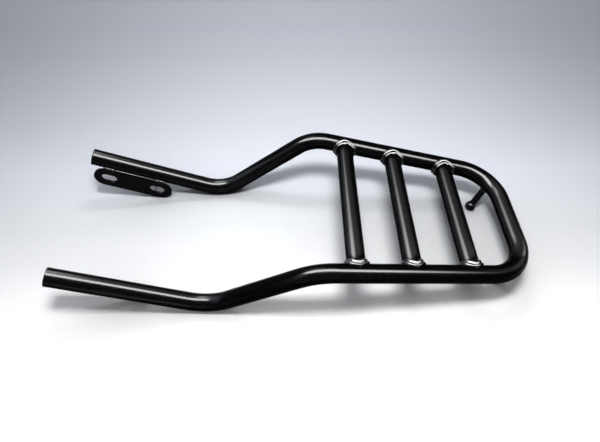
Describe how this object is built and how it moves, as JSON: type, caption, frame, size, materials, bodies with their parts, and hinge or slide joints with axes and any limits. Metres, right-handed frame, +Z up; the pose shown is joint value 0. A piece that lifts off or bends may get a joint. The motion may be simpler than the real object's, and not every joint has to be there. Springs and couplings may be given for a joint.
{
  "type": "motorcycle luggage rack",
  "caption": "Bent steel tube luggage rack with a rimmed platform of cross tubes, side arms with slotted mounting plates and ball pegs for straps.",
  "frame": {"origin": "middle of the footprint at floor level, with the rack lying as it rests on its lower bends and its two pegs", "axes": "+X along the rack from the open ends of the arms to the rear run of the platform, +Y to the right-hand side, +Z up"},
  "size_m": [0.569, 0.2342, 0.1008],
  "materials": {
    "gloss_black": "gloss",
    "gloss_black_weld": "gloss paint over rippled weld metal",
    "black_plastic": "matte"
  },
  "bodies": {
    "root": {"main_tube": "gloss_black", "cross_tube_front": "gloss_black", "cross_weld_front_left": "gloss_black_weld", "cross_weld_front_right": "gloss_black_weld", "cross_tube_middle": "gloss_black", "cross_weld_middle_left": "gloss_black_weld", "cross_weld_middle_right": "gloss_black_weld", "cross_tube_rear": "gloss_black", "cross_weld_rear_left": "gloss_black_weld", "cross_weld_rear_right": "gloss_black_weld", "mounting_plate_left": "gloss_black", "plate_weld_front_left": "gloss_black_weld", "plate_weld_rear_left": "gloss_black_weld", "strap_peg_left": "gloss_black", "peg_weld_left": "gloss_black_weld", "end_plug_left": "black_plastic", "mounting_plate_right": "gloss_black", "plate_weld_front_right": "gloss_black_weld", "plate_weld_rear_right": "gloss_black_weld", "strap_peg_right": "gloss_black", "peg_weld_right": "gloss_black_weld", "end_plug_right": "black_plastic"}
  },
  "joints": []
}
